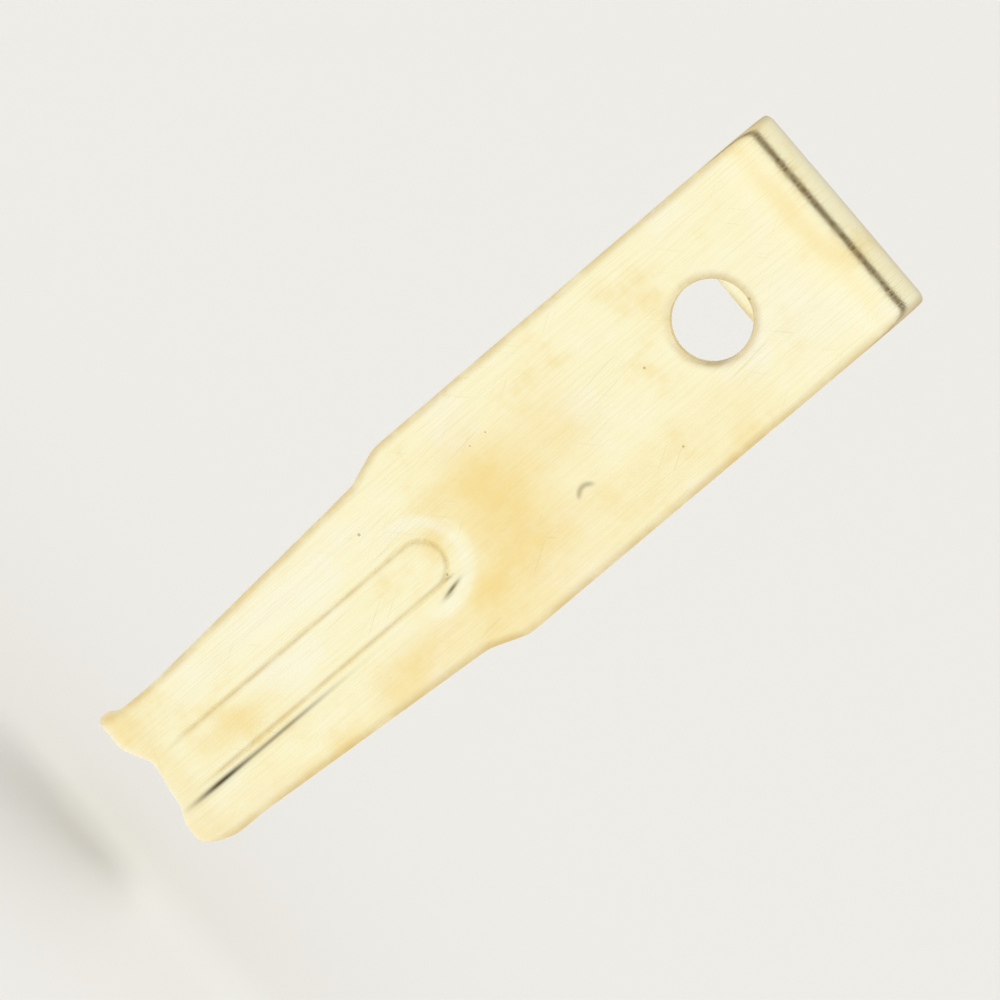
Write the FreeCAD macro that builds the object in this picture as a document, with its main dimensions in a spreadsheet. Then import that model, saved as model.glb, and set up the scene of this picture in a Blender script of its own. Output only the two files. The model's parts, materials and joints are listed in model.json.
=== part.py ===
import FreeCAD, Part
import Sketcher

import math
import os

# Picture hook folded from one strip of brassed steel.
# Millimetres. +Z is up, the wall is at y = 0 and the hook stands out from it towards -Y.
# The origin is the centre of the plate's pin hole, on the face that lies on the wall.

NODE = "picture_hook"

SIZES = {
    # the strip
    "strip_thickness": 0.4,
    "hook_height": 24.6,
    # the wall plate, its pin hole, and the shoulder where it narrows
    "plate_width": 6.5,
    "pin_bore": 2.2,
    "hole_drop": 4.5,
    "shoulder_drop": 13.7,
    "shoulder_length": 1.1,
    "shoulder_step": 0.4,
    "foot_width": 4.6,
    "foot_length": 2.2,
    # the top leg, folded down to the front, which guides the pin
    "top_bend_radius": 2.05,
    "top_leg_angle": 50.0,
    "top_leg_length": 6.0,
    "top_hole_reach": 1.95,
    # the lip that carries the cord, and the tongue that closes it
    "foot_bend_radius": 1.25,
    "lip_angle": 38.0,
    "lip_bow_radius": 8.2,
    "lip_close_angle": 3.0,
    "tongue_bend_radius": 0.55,
    "tongue_angle": 47.0,
    "tongue_gap": 0.3,
    "tongue_width": 3.9,
    # the rib pressed down the middle and round the foot
    "rib_drop": 13.9,
    "rib_width": 1.8,
    "rib_depth": 0.2,
    "rib_slope": 45.0,
    "rib_wrap": 12.0,
    # corner radii in the outline of the strip
    "shoulder_blend": 1.2,
    "leg_corner": 0.35,
    "tongue_corner": 1.3,
    # how far a cut runs past the metal
    "cut_clear": 0.1,
}

doc = FreeCAD.newDocument("PictureHook")
sheet = doc.addObject("Spreadsheet::Sheet", "sizes")
for row, (alias, size) in enumerate(SIZES.items(), start=1):
    sheet.set(f"A{row}", alias)
    sheet.set(f"B{row}", str(size))
    sheet.setAlias(f"B{row}", alias)
doc.recompute()

# Places and radii that several features share, as expressions over the cells.
# OUT is the distance from the wall face to the front, RISE the height above the origin.
# Every bend curls the same way, so each has its centre on the inner side of the strip.

HALF_SHEET = "(sizes.strip_thickness / 2)"
LEG_ANGLE = "(sizes.top_leg_angle * 1 deg)"
LIP_ANGLE = "(sizes.lip_angle * 1 deg)"
CLOSE_ANGLE = "(sizes.lip_close_angle * 1 deg)"
TONGUE_ANGLE = "(sizes.tongue_angle * 1 deg)"
RIB_SLOPE = "(sizes.rib_slope * 1 deg)"
RIB_END_ANGLE = "((sizes.lip_angle - sizes.rib_wrap) * 1 deg)"

TOP_RADIUS = f"(sizes.top_bend_radius - {HALF_SHEET})"
FOOT_RADIUS = f"(sizes.foot_bend_radius - {HALF_SHEET})"
BOW_RADIUS = f"(sizes.lip_bow_radius - {HALF_SHEET})"
TONGUE_RADIUS = f"(sizes.tongue_bend_radius - {HALF_SHEET})"

BASE_RISE = "(sizes.hole_drop - sizes.hook_height)"
SHOULDER_RISE = "(sizes.hole_drop - sizes.shoulder_drop)"
RIB_RISE = "(sizes.hole_drop - sizes.rib_drop - sizes.rib_width / 2)"

TOP_CENTRE_RISE = "(sizes.hole_drop - sizes.top_bend_radius)"
LEG_ROOT_OUT = f"({HALF_SHEET} + {TOP_RADIUS} * (1 + cos({LEG_ANGLE})))"
LEG_ROOT_RISE = f"({TOP_CENTRE_RISE} + {TOP_RADIUS} * sin({LEG_ANGLE}))"
LEG_TIP_OUT = f"({LEG_ROOT_OUT} + sizes.top_leg_length * sin({LEG_ANGLE}))"
LEG_TIP_RISE = f"({LEG_ROOT_RISE} - sizes.top_leg_length * cos({LEG_ANGLE}))"
LEG_HOLE_OUT = f"({LEG_ROOT_OUT} + sizes.top_hole_reach * sin({LEG_ANGLE}))"
LEG_HOLE_RISE = f"({LEG_ROOT_RISE} - sizes.top_hole_reach * cos({LEG_ANGLE}))"

FOOT_CENTRE_RISE = f"({BASE_RISE} + sizes.foot_bend_radius)"
FOOT_TO_BOW = "(sizes.lip_bow_radius - sizes.foot_bend_radius)"
BOW_CENTRE_OUT = f"(sizes.foot_bend_radius - {FOOT_TO_BOW} * cos({LIP_ANGLE}))"
BOW_CENTRE_RISE = f"({FOOT_CENTRE_RISE} + {FOOT_TO_BOW} * sin({LIP_ANGLE}))"
BOW_TO_TONGUE = "(sizes.lip_bow_radius - sizes.tongue_bend_radius)"
CORNER_CENTRE_OUT = f"({BOW_CENTRE_OUT} + {BOW_TO_TONGUE} * cos({CLOSE_ANGLE}))"
CORNER_CENTRE_RISE = f"({BOW_CENTRE_RISE} + {BOW_TO_TONGUE} * sin({CLOSE_ANGLE}))"
TONGUE_ROOT_OUT = f"({CORNER_CENTRE_OUT} + {TONGUE_RADIUS} * cos({TONGUE_ANGLE}))"
TONGUE_ROOT_RISE = f"({CORNER_CENTRE_RISE} + {TONGUE_RADIUS} * sin({TONGUE_ANGLE}))"
TONGUE_TIP_OUT = f"(sizes.strip_thickness + sizes.tongue_gap + {HALF_SHEET} * cos({TONGUE_ANGLE}))"
TONGUE_RUN = f"(({TONGUE_ROOT_OUT} - {TONGUE_TIP_OUT}) / sin({TONGUE_ANGLE}))"
TONGUE_TIP_RISE = f"({TONGUE_ROOT_RISE} + {TONGUE_RUN} * cos({TONGUE_ANGLE}))"

RIB_END_OUT = f"({BOW_CENTRE_OUT} + sizes.lip_bow_radius * cos({RIB_END_ANGLE}))"
RIB_END_RISE = f"({BOW_CENTRE_RISE} - sizes.lip_bow_radius * sin({RIB_END_ANGLE}))"

X_AXIS = FreeCAD.Vector(1, 0, 0)
Z_AXIS = FreeCAD.Vector(0, 0, 1)
ORIGIN_POINT = (-1, 1)
START, END, CENTRE = 1, 2, 3

body = doc.addObject("PartDesign::Body", NODE)
body.Label = NODE
body.Placement = FreeCAD.Placement()


def number(expression):
    """What an expression over the cells comes to."""
    return float(body.evalExpression(expression))


def new_sketch(name, role):
    """A sketch on one of the body's origin planes."""
    sketch = body.newObject("Sketcher::SketchObject", name)
    plane = next(item for item in body.Origin.OriginFeatures if item.Role == role)
    sketch.AttachmentSupport = (plane, [""])
    sketch.MapMode = "FlatFace"
    return sketch


def cross_sketch(name, out, rise, tilt):
    """A sketch across the strip: local x is X, local y is +Y turned up by the tilt."""
    sketch = new_sketch(name, "XY_Plane")
    if tilt:
        turn = FreeCAD.Rotation(X_AXIS, number(tilt))
        sketch.AttachmentOffset = FreeCAD.Placement(FreeCAD.Vector(), turn)
        sketch.setExpression("AttachmentOffset.Rotation.Angle", tilt)
    sketch.setExpression("AttachmentOffset.Base.y", f"-{out} * 1 mm")
    sketch.setExpression("AttachmentOffset.Base.z", f"{rise} * 1 mm")
    return sketch


def bind(sketch, name, constraint, expression):
    """Add a dimension to the sketch and tie it to the cells."""
    index = sketch.addConstraint(constraint)
    sketch.renameConstraint(index, name)
    sketch.setExpression(f"Constraints.{name}", expression)


def place_point(sketch, name, geometry, point, x, y):
    """Hold a sketch point at two expressions, measured from the sketch's origin."""
    for kind, expression in (("DistanceX", x), ("DistanceY", y)):
        constraint = Sketcher.Constraint(kind, *ORIGIN_POINT, geometry, point, number(expression))
        bind(sketch, f"{name}_{kind[-1].lower()}", constraint, f"({expression}) * 1 mm")


def add_outline(sketch, name, corners):
    """A closed outline of straight lines through corners given as pairs of expressions."""
    points = [FreeCAD.Vector(number(x), number(y), 0) for x, y in corners]
    first = sketch.GeometryCount
    count = len(points)
    for index, start in enumerate(points):
        sketch.addGeometry(Part.LineSegment(start, points[(index + 1) % count]), False)
    for index, (x, y) in enumerate(corners):
        line = first + index
        following = first + (index + 1) % count
        sketch.addConstraint(Sketcher.Constraint("Coincident", line, END, following, START))
        place_point(sketch, f"{name}{index}", line, START, x, y)


def add_arc(sketch, centre, radius, start, end):
    """An arc, anticlockwise from one direction to another, in degrees."""
    circle = Part.Circle(centre, Z_AXIS, radius)
    arc = Part.ArcOfCircle(circle, math.radians(start), math.radians(end))
    return sketch.addGeometry(arc, False)


def add_hole(sketch, diameter):
    """A circle about the sketch's origin."""
    circle = Part.Circle(FreeCAD.Vector(), Z_AXIS, number(diameter) / 2)
    hole = sketch.addGeometry(circle, False)
    sketch.addConstraint(Sketcher.Constraint("Coincident", hole, CENTRE, *ORIGIN_POINT))
    bind(sketch, "bore", Sketcher.Constraint("Diameter", hole, number(diameter)), diameter)


def pocket(name, sketch, depth):
    """Cut away from the wall face to the front, to a depth or right through."""
    cut = body.newObject("PartDesign::Pocket", name)
    cut.Profile = sketch
    cut.Reversed = True
    if depth:
        cut.Type = "Length"
        cut.setExpression("Length", f"({depth}) * 1 mm")
    else:
        cut.Type = "ThroughAll"
    return cut


def round_corners(name, places, radius):
    """Round the short edges that lie nearest to the given places."""
    doc.recompute()
    solid = body.Tip
    names = []
    for place in places:
        gaps = [(edge.CenterOfMass - place).Length for edge in solid.Shape.Edges]
        names.append(f"Edge{gaps.index(min(gaps)) + 1}")
    rounding = body.newObject("PartDesign::Fillet", name)
    rounding.Base = (solid, names)
    rounding.setExpression("Radius", f"{radius} * 1 mm")
    return rounding


def both_sides(half_width, out, rise):
    """A place on the strip's left edge and its twin on the right."""
    return [FreeCAD.Vector(side * number(half_width), -number(out), number(rise)) for side in (-1, 1)]


# The fold line: the middle of the strip's thickness, from the leg's tip to the tongue's tip

fold = new_sketch("fold_line", "YZ_Plane")
top_centre = FreeCAD.Vector(-number("sizes.top_bend_radius"), number(TOP_CENTRE_RISE), 0)
foot_centre = FreeCAD.Vector(-number("sizes.foot_bend_radius"), number(FOOT_CENTRE_RISE), 0)
bow_centre = FreeCAD.Vector(-number(BOW_CENTRE_OUT), number(BOW_CENTRE_RISE), 0)
corner_centre = FreeCAD.Vector(-number(CORNER_CENTRE_OUT), number(CORNER_CENTRE_RISE), 0)
leg_angle = number("sizes.top_leg_angle")
lip_angle = number("sizes.lip_angle")
close_angle = number("sizes.lip_close_angle")
tongue_angle = number("sizes.tongue_angle")
plate_out = number(HALF_SHEET)

leg_tip = FreeCAD.Vector(-number(LEG_TIP_OUT), number(LEG_TIP_RISE), 0)
leg_root = FreeCAD.Vector(-number(LEG_ROOT_OUT), number(LEG_ROOT_RISE), 0)
plate_top = FreeCAD.Vector(-plate_out, top_centre.y, 0)
plate_foot = FreeCAD.Vector(-plate_out, foot_centre.y, 0)
tongue_root = FreeCAD.Vector(-number(TONGUE_ROOT_OUT), number(TONGUE_ROOT_RISE), 0)
tongue_tip = FreeCAD.Vector(-number(TONGUE_TIP_OUT), number(TONGUE_TIP_RISE), 0)

leg = fold.addGeometry(Part.LineSegment(leg_tip, leg_root), False)
top_bend = add_arc(fold, top_centre, number(TOP_RADIUS), 0, 180 - leg_angle)
plate = fold.addGeometry(Part.LineSegment(plate_top, plate_foot), False)
foot_bend = add_arc(fold, foot_centre, number(FOOT_RADIUS), lip_angle - 180, 0)
bow = add_arc(fold, bow_centre, number(BOW_RADIUS), 180 - close_angle, 180 + lip_angle)
corner = add_arc(fold, corner_centre, number(TONGUE_RADIUS), 180 - tongue_angle, 180 - close_angle)
tongue = fold.addGeometry(Part.LineSegment(tongue_root, tongue_tip), False)

for first, first_end, second, second_end in (
    (leg, END, top_bend, END),
    (top_bend, START, plate, START),
    (plate, END, foot_bend, END),
    (foot_bend, START, bow, END),
    (bow, START, corner, END),
    (corner, START, tongue, START),
):
    fold.addConstraint(Sketcher.Constraint("Tangent", first, first_end, second, second_end))
fold.addConstraint(Sketcher.Constraint("Vertical", plate))

for name, arc, radius, span in (
    ("top", top_bend, TOP_RADIUS, f"180 deg - {LEG_ANGLE}"),
    ("foot", foot_bend, FOOT_RADIUS, f"180 deg - {LIP_ANGLE}"),
    ("bow", bow, BOW_RADIUS, f"{LIP_ANGLE} + {CLOSE_ANGLE}"),
    ("corner", corner, TONGUE_RADIUS, f"{TONGUE_ANGLE} - {CLOSE_ANGLE}"),
):
    bind(fold, f"{name}_radius", Sketcher.Constraint("Radius", arc, number(radius)), f"{radius} * 1 mm")
    turn = Sketcher.Constraint("Angle", arc, math.radians(number(span)))
    bind(fold, f"{name}_turn", turn, span)

for name, kind, geometry, point, expression in (
    ("plate_out", "DistanceX", plate, START, f"-{HALF_SHEET}"),
    ("top_rise", "DistanceY", top_bend, CENTRE, TOP_CENTRE_RISE),
    ("foot_rise", "DistanceY", foot_bend, CENTRE, FOOT_CENTRE_RISE),
    ("tongue_out", "DistanceX", tongue, END, f"-{TONGUE_TIP_OUT}"),
):
    place = Sketcher.Constraint(kind, *ORIGIN_POINT, geometry, point, number(expression))
    bind(fold, name, place, f"{expression} * 1 mm")
leg_run = Sketcher.Constraint("Distance", leg, number("sizes.top_leg_length"))
bind(fold, "leg_run", leg_run, "sizes.top_leg_length * 1 mm")

# The strip: a flat section at the leg's tip, carried along the fold line

section = cross_sketch("strip_section", LEG_TIP_OUT, LEG_TIP_RISE, f"-{LEG_ANGLE}")
half_width = "sizes.plate_width / 2"
add_outline(
    section,
    "corner",
    [
        (f"-{half_width}", f"-{HALF_SHEET}"),
        (half_width, f"-{HALF_SHEET}"),
        (half_width, HALF_SHEET),
        (f"-{half_width}", HALF_SHEET),
    ],
)
doc.recompute()
strip = body.newObject("PartDesign::AdditivePipe", "folded_strip")
strip.Profile = section
strip.Spine = (fold, [f"Edge{index + 1}" for index in range(fold.GeometryCount)])
strip.Mode = "Binormal"
strip.Binormal = X_AXIS

# The plate's outline: full width at the top, a shoulder, then a taper to the narrow foot.
# This cut stops half way across the tongue's gap, so that it meets only the plate.

edge_clear = "sizes.plate_width / 2 + sizes.cut_clear"
shank_half = "(sizes.plate_width / 2 - sizes.shoulder_step)"
below_foot = f"{BASE_RISE} - sizes.cut_clear"
taper_foot_rise = f"({BASE_RISE} + sizes.foot_length)"
gap_middle = "(sizes.strip_thickness + sizes.tongue_gap / 2)"
shoulder_foot_rise = f"({SHOULDER_RISE} - sizes.shoulder_length)"

plate_outline = new_sketch("plate_outline", "XZ_Plane")
for name, side in (("right", ""), ("left", "-1 * ")):
    add_outline(
        plate_outline,
        name,
        [
            (f"{side}({edge_clear})", SHOULDER_RISE),
            (f"{side}sizes.plate_width / 2", SHOULDER_RISE),
            (f"{side}{shank_half}", shoulder_foot_rise),
            (f"{side}sizes.foot_width / 2", taper_foot_rise),
            (f"{side}sizes.foot_width / 2", below_foot),
            (f"{side}({edge_clear})", below_foot),
        ],
    )
pocket("plate_sides", plate_outline, gap_middle)

# The lip's outline, seen from the front: the foot's width, then a taper up to the tongue's tip

lip_top_rise = f"({TONGUE_TIP_RISE} + sizes.strip_thickness)"
lip_outline = new_sketch("lip_outline", "XZ_Plane")
lip_outline.setExpression("AttachmentOffset.Base.z", f"{gap_middle} * 1 mm")
for name, side in (("right", ""), ("left", "-1 * ")):
    add_outline(
        lip_outline,
        name,
        [
            (f"{side}sizes.foot_width / 2", below_foot),
            (f"{side}sizes.foot_width / 2", taper_foot_rise),
            (f"{side}sizes.tongue_width / 2", lip_top_rise),
            (f"{side}({edge_clear})", lip_top_rise),
            (f"{side}({edge_clear})", below_foot),
        ],
    )
pocket("lip_sides", lip_outline, None)

# Rounded corners: at the tongue's tip, at the leg's tip, and along the plate's outline

round_corners(
    "tongue_corners",
    both_sides("sizes.tongue_width / 2", TONGUE_TIP_OUT, TONGUE_TIP_RISE),
    "sizes.tongue_corner",
)
round_corners(
    "leg_corners",
    both_sides("sizes.plate_width / 2", LEG_TIP_OUT, LEG_TIP_RISE),
    "sizes.leg_corner",
)
round_corners(
    "shoulder_corners",
    both_sides("sizes.plate_width / 2", HALF_SHEET, SHOULDER_RISE)
    + both_sides(shank_half, HALF_SHEET, shoulder_foot_rise),
    "sizes.shoulder_blend",
)

# The pin's two holes, punched square through the plate and through the leg

plate_hole = new_sketch("plate_hole", "XZ_Plane")
add_hole(plate_hole, "sizes.pin_bore")
pocket("plate_pin_hole", plate_hole, "sizes.strip_thickness + sizes.cut_clear")

leg_hole = cross_sketch("leg_hole", LEG_HOLE_OUT, LEG_HOLE_RISE, f"90 deg - {LEG_ANGLE}")
add_hole(leg_hole, "sizes.pin_bore")
leg_cut = body.newObject("PartDesign::Pocket", "leg_pin_hole")
leg_cut.Profile = leg_hole
leg_cut.Midplane = True
leg_cut.Type = "Length"
leg_cut.setExpression("Length", "(sizes.strip_thickness + 2 * sizes.cut_clear) * 1 mm")

# The rib: a channel pressed into the wall side, which stands up as a ridge on the inside.
# Both follow one line down the plate's face, round the foot and on to the lip.

rib_line = new_sketch("rib_line", "YZ_Plane")
rib_end_angle = number("sizes.lip_angle - sizes.rib_wrap")
rib_top = FreeCAD.Vector(0, number(RIB_RISE), 0)
rib_foot = FreeCAD.Vector(0, foot_centre.y, 0)
rib_plate = rib_line.addGeometry(Part.LineSegment(rib_top, rib_foot), False)
rib_bend = add_arc(rib_line, foot_centre, number("sizes.foot_bend_radius"), lip_angle - 180, 0)
rib_bow = add_arc(
    rib_line, bow_centre, number("sizes.lip_bow_radius"), 180 + rib_end_angle, 180 + lip_angle
)
rib_line.addConstraint(Sketcher.Constraint("Tangent", rib_plate, END, rib_bend, END))
rib_line.addConstraint(Sketcher.Constraint("Tangent", rib_bend, START, rib_bow, END))
rib_line.addConstraint(Sketcher.Constraint("Vertical", rib_plate))
place_point(rib_line, "rib_top", rib_plate, START, "0", RIB_RISE)
for name, arc, radius, span in (
    ("bend", rib_bend, "sizes.foot_bend_radius", f"180 deg - {LIP_ANGLE}"),
    ("bow", rib_bow, "sizes.lip_bow_radius", "sizes.rib_wrap * 1 deg"),
):
    held = Sketcher.Constraint("Radius", arc, number(radius))
    bind(rib_line, f"{name}_radius", held, f"{radius} * 1 mm")
    turn = Sketcher.Constraint("Angle", arc, math.radians(number(span)))
    bind(rib_line, f"{name}_turn", turn, span)
bend_rise = Sketcher.Constraint("DistanceY", *ORIGIN_POINT, rib_bend, CENTRE, foot_centre.y)
bind(rib_line, "bend_rise", bend_rise, f"{FOOT_CENTRE_RISE} * 1 mm")
doc.recompute()

# Half widths and heights of the rib's section, with the height measured out of the wall side.
# The ridge is wider than the channel, because the sheet keeps its thickness round the slopes.

slope_run = f"sizes.rib_depth / tan({RIB_SLOPE})"
clear_run = f"sizes.cut_clear / tan({RIB_SLOPE})"
ridge_gain = f"sizes.strip_thickness * tan({RIB_SLOPE} / 2)"
channel = [
    (f"sizes.rib_width / 2 + {clear_run}", "sizes.cut_clear"),
    (f"sizes.rib_width / 2 - {slope_run}", "-sizes.rib_depth"),
]
ridge = [
    (f"sizes.rib_width / 2 + {ridge_gain} + {clear_run}", "sizes.cut_clear - sizes.strip_thickness"),
    (f"sizes.rib_width / 2 + {ridge_gain} - {slope_run}", "-sizes.strip_thickness - sizes.rib_depth"),
]
rib_ends = [
    ("upper", "0", RIB_RISE, None),
    ("lower", RIB_END_OUT, RIB_END_RISE, f"180 deg + {RIB_END_ANGLE}"),
]

for form, (near, far), sweep, revolve in (
    ("ridge", ridge, "PartDesign::AdditivePipe", "PartDesign::Revolution"),
    ("channel", channel, "PartDesign::SubtractivePipe", "PartDesign::Groove"),
):
    across = cross_sketch(f"{form}_section", "0", RIB_RISE, None)
    add_outline(
        across,
        "corner",
        [
            (f"-({near[0]})", near[1]),
            (f"-({far[0]})", far[1]),
            far,
            near,
        ],
    )
    doc.recompute()
    run = body.newObject(sweep, f"{form}_run")
    run.Profile = across
    run.Spine = (rib_line, [f"Edge{index + 1}" for index in range(rib_line.GeometryCount)])
    run.Mode = "Binormal"
    run.Binormal = X_AXIS
    for end_name, out, rise, tilt in rib_ends:
        half = cross_sketch(f"{form}_{end_name}_section", out, rise, tilt)
        add_outline(half, "corner", [("0", near[1]), ("0", far[1]), far, near])
        doc.recompute()
        cap = body.newObject(revolve, f"{form}_{end_name}_cap")
        cap.Profile = half
        cap.ReferenceAxis = (half, ["V_Axis"])
        cap.Angle = 360

doc.recompute()
for item in doc.Objects:
    if "Invalid" in item.State or "Error" in item.State:
        raise RuntimeError(f"{item.Name} failed to compute: {item.State}")
shape = body.Shape
if shape.isNull() or not shape.isValid() or len(shape.Solids) != 1:
    raise RuntimeError(f"{NODE} is not one valid solid")

os.makedirs("parts", exist_ok=True)
shape.exportStep(f"parts/{NODE}.step")
print(f"{NODE}: one solid of {shape.Volume:.2f} cubic mm")
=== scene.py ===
import json
import math

import bpy
import numpy as np
from mathutils import Matrix, Vector


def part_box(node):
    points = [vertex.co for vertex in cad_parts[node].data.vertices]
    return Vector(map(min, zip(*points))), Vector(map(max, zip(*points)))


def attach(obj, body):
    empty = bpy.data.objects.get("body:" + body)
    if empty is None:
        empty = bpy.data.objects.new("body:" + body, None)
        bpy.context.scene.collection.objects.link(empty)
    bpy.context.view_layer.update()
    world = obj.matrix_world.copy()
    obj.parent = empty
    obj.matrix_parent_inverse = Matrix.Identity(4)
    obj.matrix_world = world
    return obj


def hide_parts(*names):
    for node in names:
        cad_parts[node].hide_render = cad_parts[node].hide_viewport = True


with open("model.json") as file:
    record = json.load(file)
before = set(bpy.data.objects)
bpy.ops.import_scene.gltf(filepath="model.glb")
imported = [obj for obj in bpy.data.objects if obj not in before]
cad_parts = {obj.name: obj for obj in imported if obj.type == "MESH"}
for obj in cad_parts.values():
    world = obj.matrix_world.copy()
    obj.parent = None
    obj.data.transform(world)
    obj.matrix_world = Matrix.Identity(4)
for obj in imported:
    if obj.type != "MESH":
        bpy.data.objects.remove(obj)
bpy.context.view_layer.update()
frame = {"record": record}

# A picture hook folded from one strip of brassed steel, seen from the side that lies on the wall.
# Lengths are millimetres in the hook's own frame, until MM turns them into metres.
# The strip is described flat, as run (along it, from the tip of the top leg), across (toward +X)
# and depth (through the sheet, toward the wall), and then folded into its shape.

MM = 0.001
NODE = "picture_hook"

low_corner, high_corner = (np.array(corner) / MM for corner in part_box(NODE))
mounts = {mount["name"]: mount for mount in frame["record"]["mounts"]}
TOP_RISE = high_corner[2]
BASE_RISE = low_corner[2]
PLATE_HALF = high_corner[0]
HOLE_RADIUS = mounts["pin_hole_back"]["dims"]["r_mm"]
SHEET = mounts["pin_hole_back"]["dims"]["length_mm"]
HALF = SHEET / 2

# Bends: outer radius and turn, and the straight runs between them

TOP_BEND = 2.05
LEG_ANGLE = 50.0
LEG_LENGTH = 6.0
FOOT_BEND = 1.25
LIP_ANGLE = 38.0
LIP_BOW = 8.2
LIP_CLOSE = 3.0
TONGUE_BEND = 0.55
TONGUE_ANGLE = 47.0
TONGUE_LENGTH = 3.849

# Outline of the strip: half widths at drops below the hook's top, and its corners

SHOULDER_DROP = 13.7
SHOULDER_END_DROP = 14.8
SHANK_HALF = 2.85
TAPER_END_DROP = 22.4
FOOT_HALF = 2.3
TONGUE_HALF = 1.95
SHOULDER_BLEND = 0.15
SHOULDER_SAMPLES = 9
LEG_CORNER = 0.35
TONGUE_CORNER = 1.3
CORNER_MIDDLE = math.radians(45)
LEG_HOLE_RUN = 4.05

# Rib pressed down the middle from the wall side, with soft walls and round ends

RIB_DROP = 14.8
RIB_WRAP_RUN = 1.68
RIB_DEPTH = 0.2
RIB_FLOOR_HALF = 0.66
RIB_MOUTH_HALF = 0.88
RIB_EASE = 0.06
RIB_SAMPLES = 7

# What the foot bend does to the pressed strip

# Left and right are as seen from the wall, so left is +X. Round the foot the rib gets deeper and
# wider, the right corner is drawn in, and the left edge is squeezed out.

FOOT_EASE_OUTSIDE = 0.5
FOOT_EASE_INSIDE = 0.7
FOOT_EXTRA_DEPTH = 0.22
FOOT_EXTRA_LOSS = 0.8
FOOT_LOSS_ACROSS = (-0.8, 0.7)
FOOT_FLARE_LEFT = 0.6
FOOT_FLARE_RIGHT = 0.35
FOOT_FLARE_BLEND = 0.4
FOOT_DRAW_WIDTH = 0.55
FOOT_DRAW_LEFT = 0.02
FOOT_DRAW_RIGHT = 0.32
FOOT_DRAW_LIMIT = 0.95
FOOT_BULGE = 0.22
FOOT_BULGE_REACH = 0.62
FOOT_BULGE_LEAD = 0.4
FOOT_PINCH = 0.28
FOOT_PINCH_LEAD = 0.2
FOOT_PINCH_RUN = 3.0
FOOT_EDGE_START = 1.2

# Unevenness of the sheet: a hollow above the rib, a dip round each hole, and a slow ripple

# The ripple is two crossed waves, each in radians for a millimetre of run and of across.

HOLLOW_DEPTH = 0.02
HOLLOW_REACH = 1.5
HOLLOW_LEAD = 0.3
HOLLOW_SQUASH = 0.9
DIP_DEPTH = 0.03
DIP_REACH = 0.35
RIPPLE_DEPTH = 0.008
LONG_WAVE = (0.9, 0.35)
CROSS_WAVE = (-0.23, 0.8)

# Cut edges: the die draws the wall side over, and leaves the inner side almost sharp

EDGE_BAND = 0.34
ROLL_WIDTH = 0.3
ROLL_DROP = 0.15
HOLE_BAND = 0.3
HOLE_ROLL_WIDTH = 0.24
HOLE_ROLL_DROP = 0.09
BURR_WIDTH = 0.05
BURR_DROP = 0.04
ROLL_STEPS = 10
WALL_STEPS = 4
BURR_STEPS = 4
HOLE_RINGS = 5

# Grid: stretches of columns beside the middle line as (start, end, columns), and how the ends blend in

FIXED_HALF = 1.6
COLUMN_STATIONS = ((0.0, 0.55, 5), (0.55, 1.05, 15), (1.05, FIXED_HALF, 5))
EDGE_COLUMNS = 9
TONGUE_SHARE = 0.85
LEG_BLEND = 2.2
TONGUE_BLEND = 2.6
COLUMN_SLACK = 1e-6
SLOPE_STEP = 1e-4
JOIN_DIGITS = 4

# Wear of the plating, with painted shade along the rib's corners, and painted shade on one side of the
# rim of the plate's hole

EDGE_WEAR_AND_RIB_SHADE = 0.8
EDGE_WEAR_REACH = (0.02, 0.3)
# The rib's corners get a thin line of painted shade, which goes with the rubbed edges.
RIB_SHADE_HALF = RIB_FLOOR_HALF + 0.02
RIB_SHADE_WIDTH = 0.06
RIB_SHADE_END_DROPS = (22.4, 23.8)
BEND_WEAR_EASE = 0.3
RIM_SHADE = 0.3
RIM_SHADE_REACH = 0.06
RIM_SHADE_WIDTH = 0.07
RIM_SHADE_HEADING = 0.9
RIM_SHADE_SPAN = 0.6

# Marks on the wall side, each as (drop, across, half length, half width, strength)

# The dark lines and the dash are painted shade beside the rib's right wall, darkest low down, and at
# the rib's upper end.
DARK_LINES = (
    (22.8, -0.93, 0.95, 0.075, 0.85),
    (20.6, -0.95, 1.8, 0.06, 0.6),
    (14.4, -0.7, 0.16, 0.04, 0.4),
)
DASH_DROP = 14.5
DASH_LEAN = 0.22
DARK_DASHES = ((DASH_DROP, -0.98, 0.3, 0.055, 0.8),)
# The first deep patch is painted shade under the top bend; the others are deeper patches.
DEEP_PATCHES = (
    (1.15, 0.0, 0.4, 3.4, 0.6),
    (9.4, 0.5, 1.1, 1.4, 0.5),
    (12.0, 0.1, 1.5, 2.0, 1.0),
    (13.6, -1.6, 1.2, 0.8, 0.4),
    (17.0, -1.9, 1.6, 0.7, 0.45),
    (20.5, -1.9, 1.5, 0.7, 0.5),
    (21.5, 0.0, 1.6, 0.5, 0.65),
)
# The pale patches are painted highlights, on the upper plate and on the rib's flanks.
PAINTED_HIGHLIGHTS = (
    (2.6, -1.2, 1.2, 1.6, 0.8),
    (18.6, 1.75, 2.2, 0.6, 1.0),
    (19.7, -1.7, 1.6, 0.5, 1.0),
    (21.8, 1.5, 1.2, 0.5, 0.5),
)
DEEP_FLANK = 0.32
DEEP_FLANK_ACROSS = (0.8, 1.7)
DEEP_FLANK_START_DROPS = (3.0, 5.0)
# The halo is a painted highlight round the rib's upper end.
HALO_REACH = 1.25
HALO_WIDTH = 0.2
HALO_FADE = 0.7


# The fold: the strip's middle line, run by run

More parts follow.
